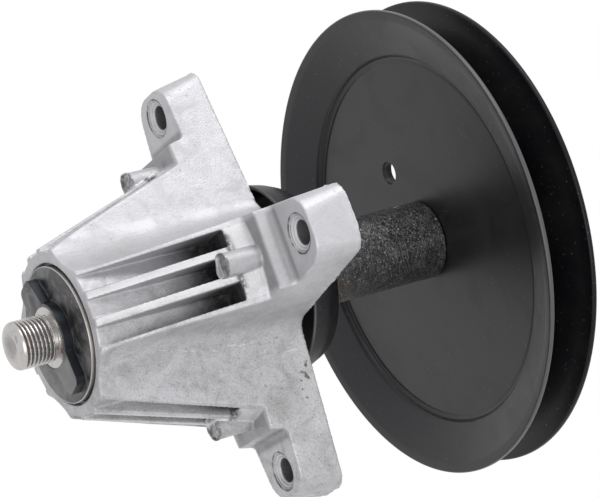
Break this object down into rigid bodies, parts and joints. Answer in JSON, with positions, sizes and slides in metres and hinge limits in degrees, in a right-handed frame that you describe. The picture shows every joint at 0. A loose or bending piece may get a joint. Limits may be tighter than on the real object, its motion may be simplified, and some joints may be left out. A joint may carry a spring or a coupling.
{
  "type": "mower deck spindle",
  "caption": "Mower deck spindle: ribbed cast housing with bolt lugs, ball bearings, threaded blade stud, blade driver, dust cap, spacer tube and pressed V-belt pulley.",
  "frame": {"origin": "centre of the housing's deck seat, on the shaft's axis", "axes": "+Z along the shaft, from the deck seat towards the pulley; the four lugs lie on the diagonals between +X and +Y"},
  "size_m": [0.1632, 0.1632, 0.18],
  "materials": {
    "cast_aluminium": "as cast, mottled",
    "shaft_steel": "turned",
    "bearing_steel": "ground",
    "ball_steel": "polished",
    "cage_steel": "pressed",
    "seal_rubber": "matt",
    "plain_steel": "turned",
    "driver_black": "satin black, bare edge",
    "cap_black": "satin black",
    "tube_dark": "dark, mottled",
    "pulley_black": "satin black",
    "nut_zinc": "zinc plated"
  },
  "bodies": {
    "housing": {"spindle_housing": "cast_aluminium", "lower_bearing_outer_race": "bearing_steel", "lower_bearing_outer_seal": "seal_rubber", "lower_bearing_inner_seal": "seal_rubber", "upper_bearing_outer_race": "bearing_steel", "upper_bearing_outer_seal": "seal_rubber", "upper_bearing_inner_seal": "seal_rubber"},
    "rotor": {"spindle_shaft": "shaft_steel", "lower_bearing_inner_race": "bearing_steel", "upper_bearing_inner_race": "bearing_steel", "bearing_spacer": "plain_steel", "blade_driver": "driver_black", "dust_cap": "cap_black", "pulley_spacer_tube": "tube_dark", "pulley_lower_half": "pulley_black", "pulley_upper_half": "pulley_black", "pulley_nut": "nut_zinc"},
    "lower_ball_set": {"lower_bearing_balls": "ball_steel", "lower_bearing_cage": "cage_steel"},
    "upper_ball_set": {"upper_bearing_balls": "ball_steel", "upper_bearing_cage": "cage_steel"}
  },
  "joints": [
    {"name": "shaft_spin", "type": "hinge", "parent": "housing", "child": "rotor", "pos_m": [0, 0, 0], "axis": [0, 0, 1], "continuous": true},
    {"name": "lower_ball_set_spin", "type": "hinge", "parent": "housing", "child": "lower_ball_set", "pos_m": [0, 0, -0.065], "axis": [0, 0, 1], "continuous": true},
    {"name": "upper_ball_set_spin", "type": "hinge", "parent": "housing", "child": "upper_ball_set", "pos_m": [0, 0, -0.0075], "axis": [0, 0, 1], "continuous": true}
  ],
  "couplings": [
    {"joint": "lower_ball_set_spin", "follows": "shaft_spin", "ratio": 0.3815},
    {"joint": "upper_ball_set_spin", "follows": "shaft_spin", "ratio": 0.3815}
  ]
}
